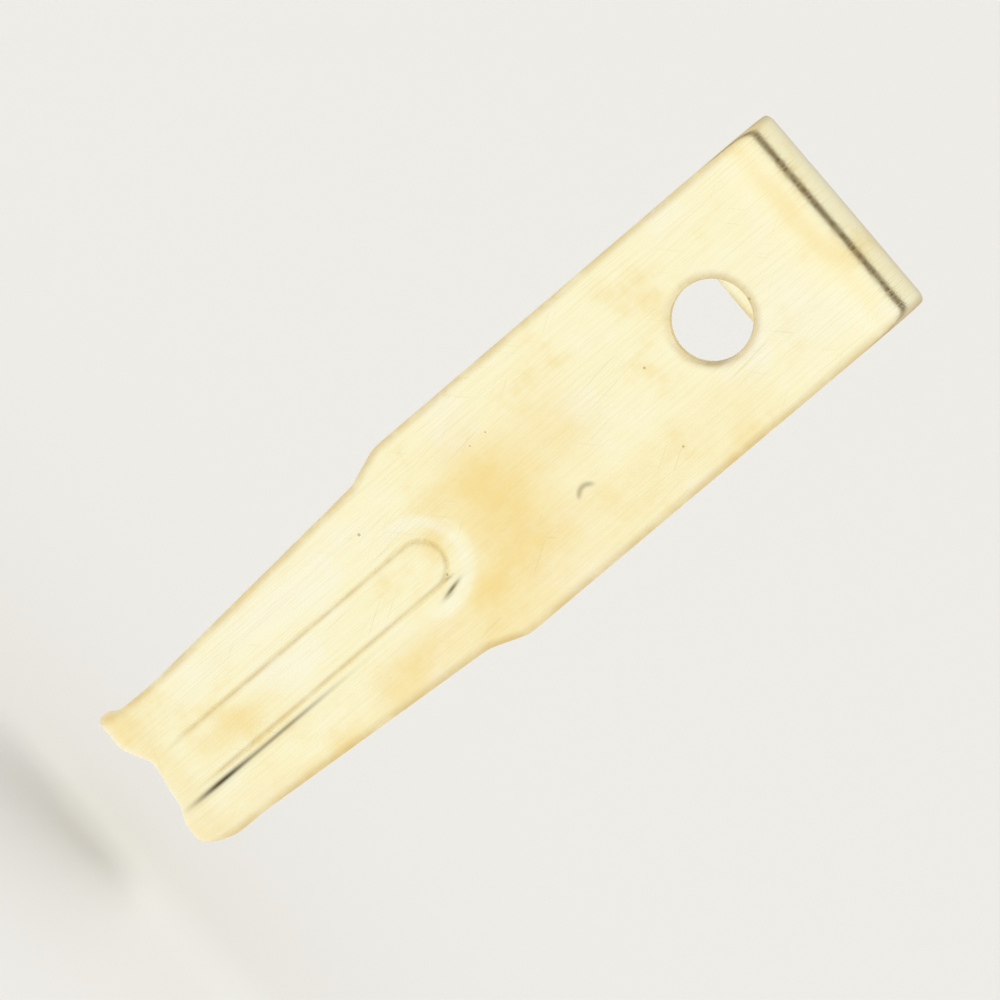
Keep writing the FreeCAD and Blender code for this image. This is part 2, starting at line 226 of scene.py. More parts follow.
def fold_runs():
    """The middle line's runs as an array of (length, turn in radians), from leg tip to tongue tip.

    A bend's length is the radius of its middle line times its turn."""
    plate = (TOP_RISE - TOP_BEND) - (BASE_RISE + FOOT_BEND)
    bends = (
        (LEG_LENGTH, 0.0, 0.0),
        (0.0, TOP_BEND, 180 - LEG_ANGLE),
        (plate, 0.0, 0.0),
        (0.0, FOOT_BEND, 180 - LIP_ANGLE),
        (0.0, LIP_BOW, LIP_ANGLE + LIP_CLOSE),
        (0.0, TONGUE_BEND, TONGUE_ANGLE - LIP_CLOSE),
        (TONGUE_LENGTH, 0.0, 0.0),
    )
    return np.array(
        [
            (length + (radius - HALF) * math.radians(turn), math.radians(turn))
            for length, radius, turn in bends
        ]
    )


def heading(turned):
    """Unit vectors (y, z) along the strip and out of its wall side, at angles turned from the plate.

    Their parts are the angle's sine and cosine: down and toward the wall where it is zero."""
    along = np.stack((-np.sin(turned), -np.cos(turned)), -1)
    outward = np.stack((np.cos(turned), -np.sin(turned)), -1)
    return along, outward


RUNS = fold_runs()
STARTS = np.concatenate(((0.0,), np.cumsum(RUNS[:, 0])))
LEG_END, PLATE_START, FOOT_START, BOW_START, KNEE_START, TONGUE_START, STRIP_LENGTH = STARTS[1:]
TURNED = np.concatenate(((0.0,), np.cumsum(RUNS[:, 1]))) - RUNS[1, 1]
BEND_RATES = RUNS[:, 1] / RUNS[:, 0]


def run_ends():
    """Where each run starts on the middle line as (y, z), laid so that the plate touches the wall.

    A straight run steps along its heading. A bend steps by the change of its outward vector times
    its radius."""
    places = [np.zeros(2)]
    for index, (length, turn) in enumerate(RUNS):
        along, outward = heading(TURNED[index : index + 2])
        if turn:
            step = (outward[1] - outward[0]) * length / turn
        else:
            step = along[0] * length
        places.append(places[-1] + step)
    plate_start = np.array((-HALF, TOP_RISE - TOP_BEND))
    return np.array(places) - places[2] + plate_start


PLACES = run_ends()


def middle_line(run):
    """Point (y, z) and outward unit vector at distances run along the middle line.

    On a straight run the point moves along the heading. On a bend it moves by the change of the
    outward vector divided by the bend's rate."""
    index = np.clip(np.searchsorted(STARTS, run, side="right") - 1, 0, len(RUNS) - 1)
    rate = BEND_RATES[index]
    beyond = run - STARTS[index]
    turned = TURNED[index] + rate * beyond
    along, outward = heading(turned)
    start_outward = heading(TURNED[index])[1]
    bent = rate > 0
    safe_rate = np.where(bent, rate, 1.0)[..., None]
    curved = (outward - start_outward) / safe_rate
    point = PLACES[index] + np.where(bent[..., None], curved, along * beyond[..., None])
    return point, outward


def run_at(drop):
    """How far along the strip a place on the plate is, from its drop below the hook's top."""
    return PLATE_START + drop - TOP_BEND


# The plate's hole is level with the frame's origin, so its drop is the top's rise

PLATE_HOLE_RUN = run_at(TOP_RISE)
HOLE_RUNS = (LEG_HOLE_RUN, PLATE_HOLE_RUN)
RIB_START = run_at(RIB_DROP)
RIB_END = BOW_START + RIB_WRAP_RUN


# The press: the forms that are struck into the flat strip

def smooth(value, low, high):
    """0 below low and 1 above high, with an even slope at both ends: t * t * (3 - 2 t)."""
    share = np.clip((value - low) / (high - low), 0, 1)
    return share * share * (3 - 2 * share)


def bell(value, width):
    """1 at zero and dying away on both sides: e to the power of minus (value / width) squared."""
    return np.exp(-((value / width) ** 2))


def bend_share(run, start, end, outside, inside):
    """1 on a bend and 0 beyond it, with a smooth step from outside each end to inside it."""
    rising = smooth(run, start - outside, start + inside)
    return rising * (1 - smooth(run, end - inside, end + outside))


def half_width(run):
    """Half the strip's width at distances run, with rounded corners at both ends.

    It is a line through the widths at known places, with the shoulder's two corners eased, less
    what a corner's quarter circle takes off near each end."""
    drops = (SHOULDER_DROP, SHOULDER_END_DROP, TAPER_END_DROP)
    stations = [0.0, *map(run_at, drops), BOW_START, STRIP_LENGTH]
    halves = [PLATE_HALF, PLATE_HALF, SHANK_HALF, FOOT_HALF, FOOT_HALF, TONGUE_HALF]
    offsets = np.linspace(-1, 1, SHOULDER_SAMPLES) * SHOULDER_BLEND
    eased = np.mean([np.interp(run + offset, stations, halves) for offset in offsets], 0)
    for corner, beyond in ((LEG_CORNER, run), (TONGUE_CORNER, STRIP_LENGTH - run)):
        short = np.clip(corner - beyond, 0, corner)
        eased = eased - (corner - np.sqrt(corner**2 - short**2))
    return eased


def channel(spine, floor, mouth):
    """1 on the channel's floor and 0 beyond its mouth, with an even slope between eased corners."""
    offsets = np.linspace(-1, 1, RIB_SAMPLES) * RIB_EASE
    slopes = [np.clip((mouth - spine - offset) / (mouth - floor), 0, 1) for offset in offsets]
    return np.mean(slopes, 0)


def press(run, across):
    """How far the sheet is pushed in from the wall side.

    The rib is a flat-bottomed channel: full depth near its middle line, none beyond its mouth, and
    an even slope between. Round the foot it flares, and is deeper on the left than on the right,
    and the strip's corners are drawn in there by a quarter of an ellipse. To that come a bell-shaped
    hollow above the rib, a bell-shaped dip round each hole, and a ripple: a sine wave times a
    cosine wave that crosses it."""
    foot = bend_share(run, FOOT_START, BOW_START, FOOT_EASE_OUTSIDE, FOOT_EASE_INSIDE)
    beyond = run - np.clip(run, RIB_START, RIB_END)
    spine = np.hypot(beyond, across)
    left_share = smooth(across, -FOOT_FLARE_BLEND, FOOT_FLARE_BLEND)
    flare = FOOT_FLARE_RIGHT + (FOOT_FLARE_LEFT - FOOT_FLARE_RIGHT) * left_share
    kept_share = 1 - FOOT_EXTRA_LOSS * smooth(-across, *FOOT_LOSS_ACROSS)
    depth = RIB_DEPTH + FOOT_EXTRA_DEPTH * foot * kept_share
    pushed = depth * channel(spine, RIB_FLOOR_HALF, RIB_MOUTH_HALF + flare * foot)
    corner = np.clip(1 - (FOOT_HALF - np.abs(across)) / FOOT_DRAW_WIDTH, 0, 1)
    drawn = np.where(across < 0, FOOT_DRAW_RIGHT, FOOT_DRAW_LEFT)
    pushed += foot * drawn * (1 - np.sqrt(1 - FOOT_DRAW_LIMIT * corner**2))
    hollow = np.hypot(run - RIB_START + HOLLOW_LEAD, across * HOLLOW_SQUASH)
    pushed += HOLLOW_DEPTH * bell(hollow, HOLLOW_REACH)
    for hole_run in HOLE_RUNS:
        reach = np.hypot(run - hole_run, across) - HOLE_RADIUS
        pushed += DIP_DEPTH * bell(reach, DIP_REACH)
    long_wave, cross_wave = (run * wave[0] + across * wave[1] for wave in (LONG_WAVE, CROSS_WAVE))
    return pushed + RIPPLE_DEPTH * (1 + np.sin(long_wave) * np.cos(cross_wave))


def sideways(run, across):
    """How far the foot bend moves the strip's edges toward +X.

    The left edge is squeezed out most just before the foot's lowest place, as a bell curve along
    the run. The right edge is drawn in from the bend's start on, and comes back over the lip. Both
    die away toward the middle line."""
    lowest = FOOT_START + (FOOT_BEND - HALF) * math.pi / 2
    bulge = FOOT_BULGE * bell(run - lowest + FOOT_BULGE_LEAD, FOOT_BULGE_REACH)
    drawing = smooth(run, FOOT_START - FOOT_PINCH_LEAD, lowest)
    pinch = FOOT_PINCH * drawing * (1 - smooth(run, lowest, lowest + FOOT_PINCH_RUN))
    edge = smooth(np.abs(across), FOOT_EDGE_START, FOOT_HALF)
    return edge * np.where(across > 0, bulge, pinch)


def folded(flat):
    """Flat points (run, across, depth) as points (x, y, z) of the folded hook.

    Each is the middle line's point at its run, moved along the outward vector by its depth less
    what the press pushes in, and along x by its distance across."""
    run, across, depth = np.moveaxis(flat, -1, 0)
    point, outward = middle_line(run)
    section = point + outward * (depth - press(run, across))[..., None]
    return np.concatenate(((across + sideways(run, across))[..., None], section), -1)


# What the finish reads at each point: the wear of the plating with painted shade, and its tone with
# painted highlights and shade

def marks(run, across, places):
    """How strong the marks are: the sum of a bell along the strip times a bell across it for each."""
    spots = [
        strength * bell(run - run_at(drop), length) * bell(across - beside, width)
        for drop, beside, length, width, strength in places
    ]
    return np.sum(spots, 0)


def wear_and_shade_of(flat):
    """Three shares for the finish: rubbed edges with painted shade along the rib's corners, rubbed
    tight bends, and painted shade.

    Rubbing fades by a smooth step from each cut edge, and the rib's painted shade by a bell curve from
    the rib's corner. The third share is painted shade in dark lines beside the rib, and on one side of
    the rim of the plate's hole as a bell across the rim times a bell round it."""
    run, across, depth = flat.T
    wall_side = depth > 0
    sides = half_width(np.clip(run, 0, STRIP_LENGTH)) - np.abs(across)
    ends = np.minimum(run, STRIP_LENGTH - run)
    holes = [np.hypot(run - hole, across) - HOLE_RADIUS for hole in HOLE_RUNS]
    edge = 1 - smooth(np.minimum.reduce([sides, ends, *holes]), *EDGE_WEAR_REACH)
    spine = np.hypot(np.minimum(run - RIB_START, 0), across)
    # A thin line of painted shade along the rib's corner, added to the rubbed edges.
    rib_corner_shade = bell(spine - RIB_SHADE_HALF, RIB_SHADE_WIDTH) * wall_side
    edge += rib_corner_shade * (1 - smooth(run, *map(run_at, RIB_SHADE_END_DROPS)))
    bends = [
        bend_share(run, start, end, BEND_WEAR_EASE, BEND_WEAR_EASE)
        for start, end in ((FOOT_START, BOW_START), (KNEE_START, TONGUE_START))
    ]
    leaning = across + DASH_LEAN * (run - run_at(DASH_DROP))
    rim_side = np.arctan2(-across, run - PLATE_HOLE_RUN) - RIM_SHADE_HEADING
    rim = bell(holes[1] - RIM_SHADE_REACH, RIM_SHADE_WIDTH) * bell(rim_side, RIM_SHADE_SPAN)
    # The third share is painted shade: dark lines and a dash beside the rib, and one side of the
    # hole's rim.
    painted_shade = marks(run, across, DARK_LINES) + marks(run, leaning, DARK_DASHES) + RIM_SHADE * rim
    return np.stack((EDGE_WEAR_AND_RIB_SHADE * edge, sum(bends), np.clip(painted_shade * wall_side, 0, 1)), -1)


def tone_and_painted_light_of(flat):
    """Where the wall side is drawn deeper (above 0) or paler (below 0), as soft patches.

    The pale patches and the pale halo are painted highlights, and the deep patch under the top bend is
    painted shade. The right flank is deeper from the top down, by smooth steps. The halo goes round
    the rib's upper end, as a bell curve of the distance from it."""
    run, across, depth = flat.T
    flank = smooth(-across, *DEEP_FLANK_ACROSS) * smooth(run, *map(run_at, DEEP_FLANK_START_DROPS))
    halo = bell(np.hypot(run - RIB_START, across) - HALO_REACH, HALO_WIDTH)
    halo *= 1 - smooth(run, RIB_START, RIB_START + HALO_FADE)
    deep_and_shade = marks(run, across, DEEP_PATCHES) + DEEP_FLANK * flank
    painted_highlight = marks(run, across, PAINTED_HIGHLIGHTS) + halo
    return (deep_and_shade - painted_highlight) * (depth > 0)


# The strip's outline and the grid inside it

def eased_slope(function, place):
    """The slope of a function at each place: its rise between two close places over their distance."""
    return (function(place + SLOPE_STEP) - function(place - SLOPE_STEP)) / (2 * SLOPE_STEP)


def end_reach(across, half, corner):
    """How far the strip's end falls back at distances across it.

    It is none on the straight part, and a circle's fall on each corner as far as its middle."""
    short = np.clip(np.abs(across) - (half - corner), 0, corner * math.sin(CORNER_MIDDLE))
    return corner - np.sqrt(corner**2 - short**2)


def spread(half):
    """Where the columns stand for each half width: fixed near the middle, even beyond it.

    Where the strip is too narrow for the fixed ones, all of them move in by one share."""
    stretches = [np.linspace(*stretch, endpoint=False) for stretch in COLUMN_STATIONS]
    fixed = np.append(np.concatenate(stretches), FIXED_HALF)
    half = np.asarray(half)[..., None]
    share = np.minimum(1.0, half * TONGUE_SHARE / FIXED_HALF)
    outer_share = np.linspace(0, 1, EDGE_COLUMNS + 1)[1:]
    outer = FIXED_HALF * share + (half - FIXED_HALF * share) * outer_share
    right = np.concatenate((fixed * share, outer), -1)
    return np.concatenate((-right[..., :0:-1], right), -1)


def row_stations():
    """Where the rows cross the strip: denser on the bends and at the rib's ends.

    The table gives places along the strip, and the longest step between the rows that follow each.
    A row stands exactly at each place, so that the square round a hole starts and ends on one."""
    first = LEG_CORNER * (1 - math.cos(CORNER_MIDDLE))
    last = STRIP_LENGTH - TONGUE_CORNER * (1 - math.cos(CORNER_MIDDLE))
    stations = (
        (first, 0.12),
        (LEG_HOLE_RUN - FIXED_HALF, 0.14),
        (LEG_HOLE_RUN + FIXED_HALF, 0.1),
        (LEG_END, 0.08),
        (PLATE_START, 0.12),
        (PLATE_HOLE_RUN - FIXED_HALF, 0.14),
        (PLATE_HOLE_RUN + FIXED_HALF, 0.16),
        (run_at(SHOULDER_DROP) - 0.6, 0.12),
        (RIB_START - 1.0, 0.035),
        (RIB_START - 0.5, 0.08),
        (RIB_START + 0.8, 0.16),
        (FOOT_START - 0.5, 0.07),
        (BOW_START + 0.5, 0.1),
        (RIB_END + 0.5, 0.035),
        (RIB_END + 1.0, 0.15),
        (KNEE_START, 0.03),
        (TONGUE_START, 0.12),
        (last, 0.0),
    )
    pieces = []
    for (start, step), (end, _) in zip(stations, stations[1:]):
        count = max(1, math.ceil((end - start) / step))
        pieces.append(np.linspace(start, end, count, endpoint=False))
    return np.append(np.concatenate(pieces), last)


def side_outline(run):
    """Outline points on the strip's side at distances run, and their outward unit vectors.

    A point is (run, half width), and its vector is square to the half width's slope."""
    slope = eased_slope(half_width, run)
    normals = np.stack((-slope, np.ones_like(slope)), -1)
    normals /= np.linalg.norm(normals, axis=-1, keepdims=True)
    return np.stack((run, half_width(run)), -1), normals


def end_outline(across, half, corner):
    """Outline points on the leg's end at distances across it, and their outward unit vectors.

    A point is (end's reach, across), and its vector is square to the reach's slope."""
    slope = eased_slope(lambda place: end_reach(place, half, corner), across)
    normals = np.stack((-np.ones_like(slope), slope), -1)
    normals /= np.linalg.norm(normals, axis=-1, keepdims=True)
    return np.stack((end_reach(across, half, corner), across), -1), normals


def mirrored_end(points, normals):
    """The leg's end turned about, to be the tongue's end: the strip's length less each run."""
    flip = np.array((-1.0, 1.0))
    return points * flip + np.array((STRIP_LENGTH, 0.0)), normals * flip


def closed_ring(left, tongue, right, leg):
    """The four sides of the strip joined into one ring, each from its own start to the next one's."""
    return np.concatenate((left[:-1], tongue[:0:-1], right[:0:-1], leg[:-1]))


def core_grid(distance):
    """The rows and columns inside the outline, with the outline ring that goes round them.

    Each row runs from one side to the other. Near an end the rows take over the end's own form,
    by adding what the end differs from a straight row, times a share that dies away."""
    rows = row_stations()
    side, side_normals = side_outline(rows)
    side_in = side - side_normals * distance
    columns = spread(side_in[:, 1])
    grid = np.stack((np.repeat(side_in[:, :1], columns.shape[1], 1), columns), -1)
    mirror = np.array((1.0, -1.0))
    ends = []
    for half, corner, row, reach in (
        (PLATE_HALF, LEG_CORNER, 0, LEG_BLEND),
        (TONGUE_HALF, TONGUE_CORNER, -1, TONGUE_BLEND),
    ):
        points, normals = end_outline(spread(side[row, 1]), half, corner)
        if row:
            points, normals = mirrored_end(points, normals)
        points[[0, -1]] = side[row] * mirror, side[row]
        normals[[0, -1]] = side_normals[row] * mirror, side_normals[row]
        extra = points - normals * distance - grid[row]
        share = 1 - smooth(np.abs(rows - rows[row]), 0, reach)
        grid = grid + share[:, None, None] * extra
        ends.append((points, normals))
    (leg, leg_normals), (tongue, tongue_normals) = ends
    ring = closed_ring(side, tongue, side * mirror, leg)
    ring_normals = closed_ring(side_normals, tongue_normals, side_normals * mirror, leg_normals)
    inner_ring = closed_ring(grid[:, -1], grid[-1], grid[:, 0], grid[0])
    return grid, rows, ring, ring_normals, inner_ring


# The strip's surface: two faces on the grid, and the cut edges between them

def edge_profile(roll_width, roll_drop, band):
    """A cut edge as (distance into the metal, depth), from the wall face round to the inner face.

    The wall side is a quarter ellipse drawn over by the die, the wall is straight, and the inner
    side is a small quarter ellipse."""
    roll = np.linspace(0, math.pi / 2, ROLL_STEPS + 1)
    burr = np.linspace(0, math.pi / 2, BURR_STEPS + 1)
    rolled = np.stack((roll_width * (1 - np.sin(roll)), HALF - roll_drop * (1 - np.cos(roll))), -1)
    sharp = np.stack((BURR_WIDTH * (1 - np.cos(burr)), -HALF + BURR_DROP * (1 - np.sin(burr))), -1)
    heights = np.linspace(HALF - roll_drop, -HALF + BURR_DROP, WALL_STEPS + 1)[1:-1]
    wall = np.stack((np.zeros_like(heights), heights), -1)
    start = np.array(((band, HALF),))
    end = np.array(((band / 2, -HALF), (band, -HALF)))
    return np.concatenate((start, rolled, wall, sharp, end))


def with_depth(points, depth):
    """Flat points (run, across) with a depth added."""
    return np.concatenate((points, np.broadcast_to(depth, points.shape[:-1])[..., None]), -1)


def edge_strip(ring, ring_normals, inner_ring):
    """The cut edge: its profile carried round the outline, each point moved in by its distance."""
    profile = edge_profile(ROLL_WIDTH, ROLL_DROP, EDGE_BAND)
    lines = [with_depth(ring - ring_normals * inward, depth) for inward, depth in profile]
    lines[0] = with_depth(inner_ring, HALF)
    lines[-1] = with_depth(inner_ring, -HALF)
    return np.stack(lines, 1)


def hole_strip(square, centre):
    """From the square ring of grid points round a hole, over its edge, to the same ring inside.

    The rings between pass from the square's form to the circle's in even shares."""
    direction = square - centre
    direction /= np.linalg.norm(direction, axis=-1, keepdims=True)
    profile = edge_profile(HOLE_ROLL_WIDTH, HOLE_ROLL_DROP, HOLE_BAND)
    circle = centre + direction * (HOLE_RADIUS + HOLE_BAND)
    shares = np.linspace(0, 1, HOLE_RINGS + 1)[:-1]
    face_rings = [square + (circle - square) * share for share in shares]
    outer = [with_depth(ring, HALF) for ring in face_rings]
    edge = [
        with_depth(centre + direction * (HOLE_RADIUS + outward), depth)
        for outward, depth in profile
    ]
    inner = [with_depth(ring, -HALF) for ring in face_rings[::-1]]
    return np.stack(outer + edge + inner, 1)


def quads(shape, first, closed):
    """The faces of a grid whose corners are numbered from first, joined end to start if closed."""
    numbers = np.arange(shape[0] * shape[1]).reshape(shape) + first
    if closed:
        numbers = np.concatenate((numbers, numbers[:1]))
    corners = (numbers[:-1, :-1], numbers[1:, :-1], numbers[1:, 1:], numbers[:-1, 1:])
    return np.stack(corners, -1)


def build_strip():
    """All flat points and faces of the strip: both faces, the cut edge, and the two holes.

    Each patch brings its own points, and points that lie in one place are then made one."""
    grid, rows, ring, ring_normals, inner_ring = core_grid(EDGE_BAND)
    columns = np.abs(spread(PLATE_HALF)) <= FIXED_HALF + COLUMN_SLACK
    first, last = np.flatnonzero(columns)[[0, -1]]
    open_cells = np.ones((grid.shape[0] - 1, grid.shape[1] - 1), bool)
    patches = [(edge_strip(ring, ring_normals, inner_ring), True)]
    for hole_run in HOLE_RUNS:
        top, low = (int(np.argmin(np.abs(rows - hole_run - side * FIXED_HALF))) for side in (-1, 1))
        open_cells[top:low, first:last] = False
        square = np.concatenate(
            (
                grid[top:low, last],
                grid[low, last:first:-1],
                grid[low:top:-1, first],
                grid[top, first:last],
            )
        )
        patches.append((hole_strip(square, np.array((hole_run, 0.0))), False))
    points, faces, count = [], [], 0
    for depth, turned in ((HALF, True), (-HALF, False)):
        cells = quads(grid.shape[:2], count, False)[open_cells]
        faces.append(cells[:, ::-1] if turned else cells)
        points.append(with_depth(grid, depth).reshape(-1, 3))
        count += len(points[-1])
    for patch, turned in patches:
        cells = quads(patch.shape[:2], count, True).reshape(-1, 4)
        faces.append(cells[:, ::-1] if turned else cells)
        points.append(patch.reshape(-1, 3))
        count += len(points[-1])
    points, faces = np.concatenate(points), np.concatenate(faces)
    rounded = np.round(points, JOIN_DIGITS)
    _, kept, place = np.unique(rounded, axis=0, return_index=True, return_inverse=True)
    return points[kept], place.reshape(-1)[faces]


def sheet_mesh(name, flat, faces):
    """A smooth mesh of the folded strip, which keeps what the finish reads at each point."""
    used, faces = np.unique(faces, return_inverse=True)
    flat, faces = flat[used], faces.reshape(-1, 4)
    mesh = bpy.data.meshes.new(name)
    mesh.from_pydata(folded(flat) * MM, [], faces)
    for title, kind, field, values in (
        ("flat", "FLOAT_VECTOR", "vector", flat * MM),
        ("wear_and_shade", "FLOAT_VECTOR", "vector", wear_and_shade_of(flat)),
        ("tone_and_painted_light", "FLOAT", "value", tone_and_painted_light_of(flat)),
    ):
        layer = mesh.attributes.new(title, kind, "POINT")
        layer.data.foreach_set(field, values.astype(np.float32).ravel())
    mesh.polygons.foreach_set("use_smooth", np.ones(len(faces), bool))
    mesh.validate()
    mesh.update()
    return mesh


hook_mesh = sheet_mesh(NODE, *build_strip())
hook = bpy.data.objects.new("picture_hook_strip", hook_mesh)
bpy.context.collection.objects.link(hook)


# Nodes and colours

def linear(hex_colour):
    """A hex colour as linear red, green, blue and alpha, by the sRGB curve."""
    values = np.array([int(hex_colour[i : i + 2], 16) for i in (1, 3, 5)]) / 255
    curve = np.where(values <= 0.04045, values / 12.92, ((values + 0.055) / 1.055) ** 2.4)
    return (*curve.tolist(), 1.0)


def add_node(tree, kind, inputs=(), **settings):
    """A shader node with its settings and its links.

    Its inputs are values, outputs, or nodes whose first output is meant. They come in the order of
    the sockets, or by a socket's name or number."""
    made = tree.nodes.new("ShaderNode" + kind)
    for name, value in settings.items():
        setattr(made, name, value)
    sockets = inputs if isinstance(inputs, dict) else dict(enumerate(inputs))
    for key, value in sockets.items():
        if isinstance(value, bpy.types.Node):
            value = value.outputs[0]
        if isinstance(value, bpy.types.NodeSocket):
            tree.links.new(value, made.inputs[key])
        else:
            made.inputs[key].default_value = value
    return made


def per_mm(size):
    """The scale of a texture whose pattern is about this many millimetres large."""
    return 1 / (size * MM)


# A MapRange's inputs are a value, the two ends of its range, and what those two become.
# A colour Mix has its share in input 0, what lies below in 6, what covers it in 7, and its
# result in output 2.

EASED = {"interpolation_type": "SMOOTHSTEP"}

# Brassed steel: cold-rolled strip, blanked and folded, then plated with bright brass in a barrel

# The rolling grain runs along the strip, and the tumbling left fine scratches and a soft pebbled skin.
# Deeper and paler patches are drawn on it: partly random tone, partly painted reflection, painted
# highlights and painted shade.

# The deep brass also draws painted shade, and the pale brass painted highlights and painted
# reflection.
BRASS = linear("#FFF8D0")
DEEP_BRASS = linear("#F9DE94")
PALE_BRASS = linear("#FFFBE2")
# The old brass also draws the painted shade along the rib's corners.
OLD_BRASS_AND_RIB_SHADE = linear("#CBA75A")
# A brown for painted shade: the dark lines, the dash, the hole's rim and the dent's crescent.
SHADE_BROWN = linear("#46310F")

# Round patterns, each as (size in millimetres, detail, roughness), and the spacing of the specks

PATTERNS = {
    "clouds": (2.6, 4.0, 0.6),
    "rubbing": (1.9, 2.0, 0.5),
    "blotches": (0.7, 4.0, 0.65),
    "pebbles": (0.5, 2.0, 0.5),
    "skin": (0.16, 3.0, 0.6),
}
SPECK_SPACING = 0.55

# Streaks: turns in radians and sizes in millimetres

# The real grain and hairlines are about a hundredth of a millimetre wide. They are drawn several
# times wider, so that they show.

GRAIN_TURN = 0.0
GRAIN_LENGTH = 2.0
GRAIN_FORM = {"width": 0.045, "detail": 4.0, "rough": 0.7}
HAIRLINES = ((0.12, 3.5), (-0.8, 1.6), (0.55, 2.2))
HAIRLINE_FORM = {"width": 0.05, "detail": 1.0, "rough": 0.4}

# Ranges, each as (from, to, becomes, becomes)

RUBBED_AREAS = (0.45, 0.62, 0.0, 1.0)
HAIRLINE_PEAKS = (0.68, 0.76, 0.0, 1.0)
SPECK_SIZES = (0.84, 1.0, 0.0, 0.12)
SPECK_RIM = (0.0, 0.03, 0.0, 1.0)
# The clouds are partly random tone and partly painted reflection of the sheet's slow waves.
DEEP_CLOUDS = (0.5, 0.74, 0.0, 0.7)
PALE_CLOUDS = (0.5, 0.3, 0.0, 0.8)
BROKEN_TONE = (0.2, 0.8, 0.8, 1.2)
# The deep tone holds painted shade, and the pale tone painted highlights.
DEEP_TONE_AND_SHADE = (0.0, 1.1, 0.0, 0.9)
PAINTED_HIGHLIGHT_RANGE = (0.0, -1.0, 0.0, 0.7)
DEEP_GRAIN = (0.45, 0.75, 0.0, 0.22)
PATCHY_EDGE = (0.3, 0.6, 0.3, 0.6)
GRAIN_GLOSS = (0.3, 0.7, 0.14, 0.26)

# Shares by which the wear and the marks colour the brass, and dull it

BEND_TINT = 0.25
HAIRLINE_TINT = 0.12
SPECK_TINT = 0.7
CRESCENT_TINT = 0.42
HAIRLINE_DULLING = 0.12
EDGE_DULLING = 0.12
PAINTED_SHADE_DULLING = 0.3

# Relief: how far each pattern rises, or each mark sinks, in millimetres

PEBBLE_RISE = 0.004
SKIN_RISE = 0.0016
GRAIN_RISE = 0.0008
DENT_SINK = 0.03
HAIRLINE_SINK = 0.001
SPECK_TO_HAIRLINE = 1.5

# One small dent on the plate: a hollow, with a dark crescent on the side that the light misses

DENT_PLACE = (run_at(10.0) * MM, -1.42 * MM, HALF * MM)
DENT_REACH = 0.42 * MM
CRESCENT_REACH = 0.27 * MM
CRESCENT_WIDTH = 0.13 * MM
CRESCENT_HEADING = (0.1, 1.0, 0.0)
CRESCENT_START = 0.02 * MM
CRESCENT_FULL = 0.22 * MM


def streaks(tree, place, turn, length, width, detail, rough):
    """A pattern of streaks this many millimetres long and wide, turned in the sheet.

    The flat place is turned, and divided by the streak's length and width."""
    turned = add_node(tree, "VectorRotate", {"Vector": place, "Angle": turn}, rotation_type="Z_AXIS")
    scales = (per_mm(length), per_mm(width), per_mm(width))
    drawn = add_node(tree, "VectorMath", (turned, scales), operation="MULTIPLY")
    inputs = {"Vector": drawn, "Scale": 1.0, "Detail": detail, "Roughness": rough}
    return add_node(tree, "TexNoise", inputs)


def hairlines(tree, place, rubbing):
    """Fine scratches: the peaks of long narrow streaks, times where the strip was rubbed."""
    rubbed = add_node(tree, "MapRange", (rubbing, *RUBBED_AREAS), **EASED)
    scratched = 0.0
    for turn, length in HAIRLINES:
        lines = streaks(tree, place, turn, length, **HAIRLINE_FORM)
        peaks = add_node(tree, "MapRange", (lines, *HAIRLINE_PEAKS), **EASED)
        scratched = add_node(tree, "Math", (peaks, rubbed, scratched), operation="MULTIPLY_ADD")
    return scratched


def specks(tree, place):
    """Small specks, in those cells of a cell pattern whose own random number is near one.

    A speck's size grows with that number, and it covers what lies nearer to its cell's point than
    that size."""
    cells = add_node(tree, "TexVoronoi", {"Vector": place, "Scale": per_mm(SPECK_SPACING)})
    number = add_node(tree, "SeparateXYZ", (cells.outputs["Color"],))
    size = add_node(tree, "MapRange", (number, *SPECK_SIZES), **EASED)
    inside = add_node(tree, "Math", (size, cells.outputs["Distance"]), operation="SUBTRACT")
    return add_node(tree, "MapRange", (inside, *SPECK_RIM), **EASED)


def dent(tree, place):
    """The dent's hollow, and its crescent.

    The hollow fades with the distance from the dent's middle. The crescent is a soft ring round
    that middle, kept to one side by how far its points lie along the crescent's heading."""
    offset = add_node(tree, "VectorMath", (place, DENT_PLACE), operation="SUBTRACT")
    reach = add_node(tree, "VectorMath", (offset,), operation="LENGTH").outputs["Value"]
    along = add_node(tree, "VectorMath", (offset, CRESCENT_HEADING), operation="DOT_PRODUCT")
    hollow = add_node(tree, "MapRange", (reach, 0.0, DENT_REACH, 1.0, 0.0), **EASED)
    past_ring = add_node(tree, "Math", (reach, CRESCENT_REACH), operation="SUBTRACT")
    off_ring = add_node(tree, "Math", (past_ring,), operation="ABSOLUTE")
    ring = add_node(tree, "MapRange", (off_ring, 0.0, CRESCENT_WIDTH, 1.0, 0.0), **EASED)
    side_range = (along.outputs["Value"], CRESCENT_START, CRESCENT_FULL, 0.0, 1.0)
    side = add_node(tree, "MapRange", side_range, **EASED)
    return hollow, add_node(tree, "Math", (ring, side), operation="MULTIPLY")


